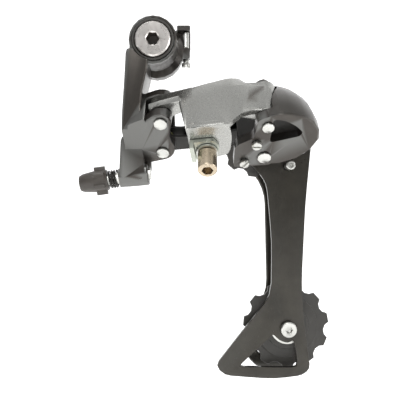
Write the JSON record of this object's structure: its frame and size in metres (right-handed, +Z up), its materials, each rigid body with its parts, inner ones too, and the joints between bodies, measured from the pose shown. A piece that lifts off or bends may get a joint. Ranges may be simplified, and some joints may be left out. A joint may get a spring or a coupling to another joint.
{
  "type": "rear bicycle derailleur",
  "caption": "Rear bicycle derailleur with a slanted link mechanism, a long black cage and toothed pulleys; its links, cage and pulleys move.",
  "frame": {"origin": "on the hanger axle's axis, in the plane of the hanger's outer face", "axes": "+X forward on the bicycle, +Y inboard towards the wheel along the hanger axle, +Z up"},
  "size_m": [0.1177, 0.0702, 0.1672],
  "materials": {
    "bright_steel": "satin",
    "steel": "satin",
    "spring_steel": "satin",
    "bracket_grey": "satin",
    "link_silver": "satin",
    "black_steel": "satin",
    "cage_black": "satin",
    "black_plastic": "satin",
    "brown_plastic": "satin",
    "olive_steel": "satin",
    "copper_steel": "satin",
    "plate_steel": "satin"
  },
  "bodies": {
    "hanger_side": {"hanger_axle_bolt": "bright_steel", "axle_circlip": "spring_steel", "stopper_plate": "bracket_grey"},
    "bracket": {"bracket_body": "bracket_grey", "axle_dust_ring": "black_plastic", "bracket_spring": "spring_steel", "rear_outer_pin": "steel", "rear_inner_pin": "steel", "return_spring": "olive_steel"},
    "angle_screw": {"bracket_angle_screw": "steel"},
    "cable_adjuster": {"adjuster_stem": "steel", "adjuster_spring": "black_steel", "adjuster_barrel": "brown_plastic"},
    "outer_arm": {"outer_link": "link_silver", "cable_anchor_washer": "steel", "cable_clamp_plate": "plate_steel", "cable_anchor_bolt": "copper_steel"},
    "inner_arm": {"inner_link": "black_steel"},
    "mobile": {"mobile_bracket": "bracket_grey", "front_outer_pin": "steel", "front_inner_pin": "steel", "cage_spring": "spring_steel", "cage_seal_ring": "black_plastic"},
    "high_gear_screw": {"limit_screw_high_gear": "steel"},
    "low_gear_screw": {"limit_screw_low_gear": "steel"},
    "cage": {"cage_axle": "steel", "outer_cage_plate": "cage_black", "inner_cage_plate": "cage_black", "cage_stop_screw": "steel", "guide_pulley_bush": "steel", "guide_pulley_outer_cap": "steel", "guide_pulley_inner_cap": "steel", "guide_pulley_bolt": "steel", "tension_pulley_bush": "steel", "tension_pulley_outer_cap": "steel", "tension_pulley_inner_cap": "steel", "tension_pulley_bolt": "steel"},
    "guide_wheel": {"guide_pulley": "black_plastic"},
    "tension_wheel": {"tension_pulley": "black_plastic"}
  },
  "joints": [
    {"name": "bracket_swing", "type": "hinge", "parent": "hanger_side", "child": "bracket", "pos_m": [0, 0, 0], "axis": [0, 1, 0], "range_deg": [0, 30], "stiffness_Nm_per_rad": 0.6},
    {"name": "shift", "type": "hinge", "parent": "bracket", "child": "outer_arm", "pos_m": [0.00365, -0.03, -0.0363], "axis": [0, 0.6428, 0.766], "range_deg": [0, 46], "stiffness_Nm_per_rad": 0.4},
    {"name": "inner_link_swing", "type": "hinge", "parent": "bracket", "child": "inner_arm", "pos_m": [0.00365, -0.01736, -0.04691], "axis": [0, 0.6428, 0.766], "range_deg": [0, 46]},
    {"name": "mobile_swing", "type": "hinge", "parent": "outer_arm", "child": "mobile", "pos_m": [0.04683, -0.03465, -0.0324], "axis": [0, 0.6428, 0.766], "range_deg": [-46, 0]},
    {"name": "cage_swing", "type": "hinge", "parent": "mobile", "child": "cage", "pos_m": [0.059, 0, -0.0365], "axis": [0, -1, 0], "range_deg": [0, 85], "stiffness_Nm_per_rad": 0.5},
    {"name": "guide_spin", "type": "hinge", "parent": "cage", "child": "guide_wheel", "pos_m": [0.049, 0.013, -0.0353], "axis": [0, 1, 0], "continuous": true},
    {"name": "tension_spin", "type": "hinge", "parent": "cage", "child": "tension_wheel", "pos_m": [0.0628, 0.013, -0.1305], "axis": [0, 1, 0], "continuous": true},
    {"name": "adjuster_turn", "type": "hinge", "parent": "bracket", "child": "cable_adjuster", "pos_m": [-0.0039, -0.014, -0.0566], "axis": [-0.9903, 0, -0.1392], "range_deg": [-180, 180]},
    {"name": "angle_screw_turn", "type": "hinge", "parent": "bracket", "child": "angle_screw", "pos_m": [0.0136, -0.0066, 0], "axis": [0, 0, 1], "range_deg": [-180, 180]},
    {"name": "high_gear_turn", "type": "hinge", "parent": "mobile", "child": "high_gear_screw", "pos_m": [0.03875, -0.02423, -0.05028], "axis": [0, 0.6428, 0.766], "range_deg": [-180, 180]},
    {"name": "low_gear_turn", "type": "hinge", "parent": "mobile", "child": "low_gear_screw", "pos_m": [0.04305, -0.0322, -0.04359], "axis": [0, 0.6428, 0.766], "range_deg": [-180, 180]}
  ],
  "couplings": [
    {"joint": "inner_link_swing", "follows": "shift", "ratio": 1},
    {"joint": "mobile_swing", "follows": "shift", "ratio": -1}
  ]
}
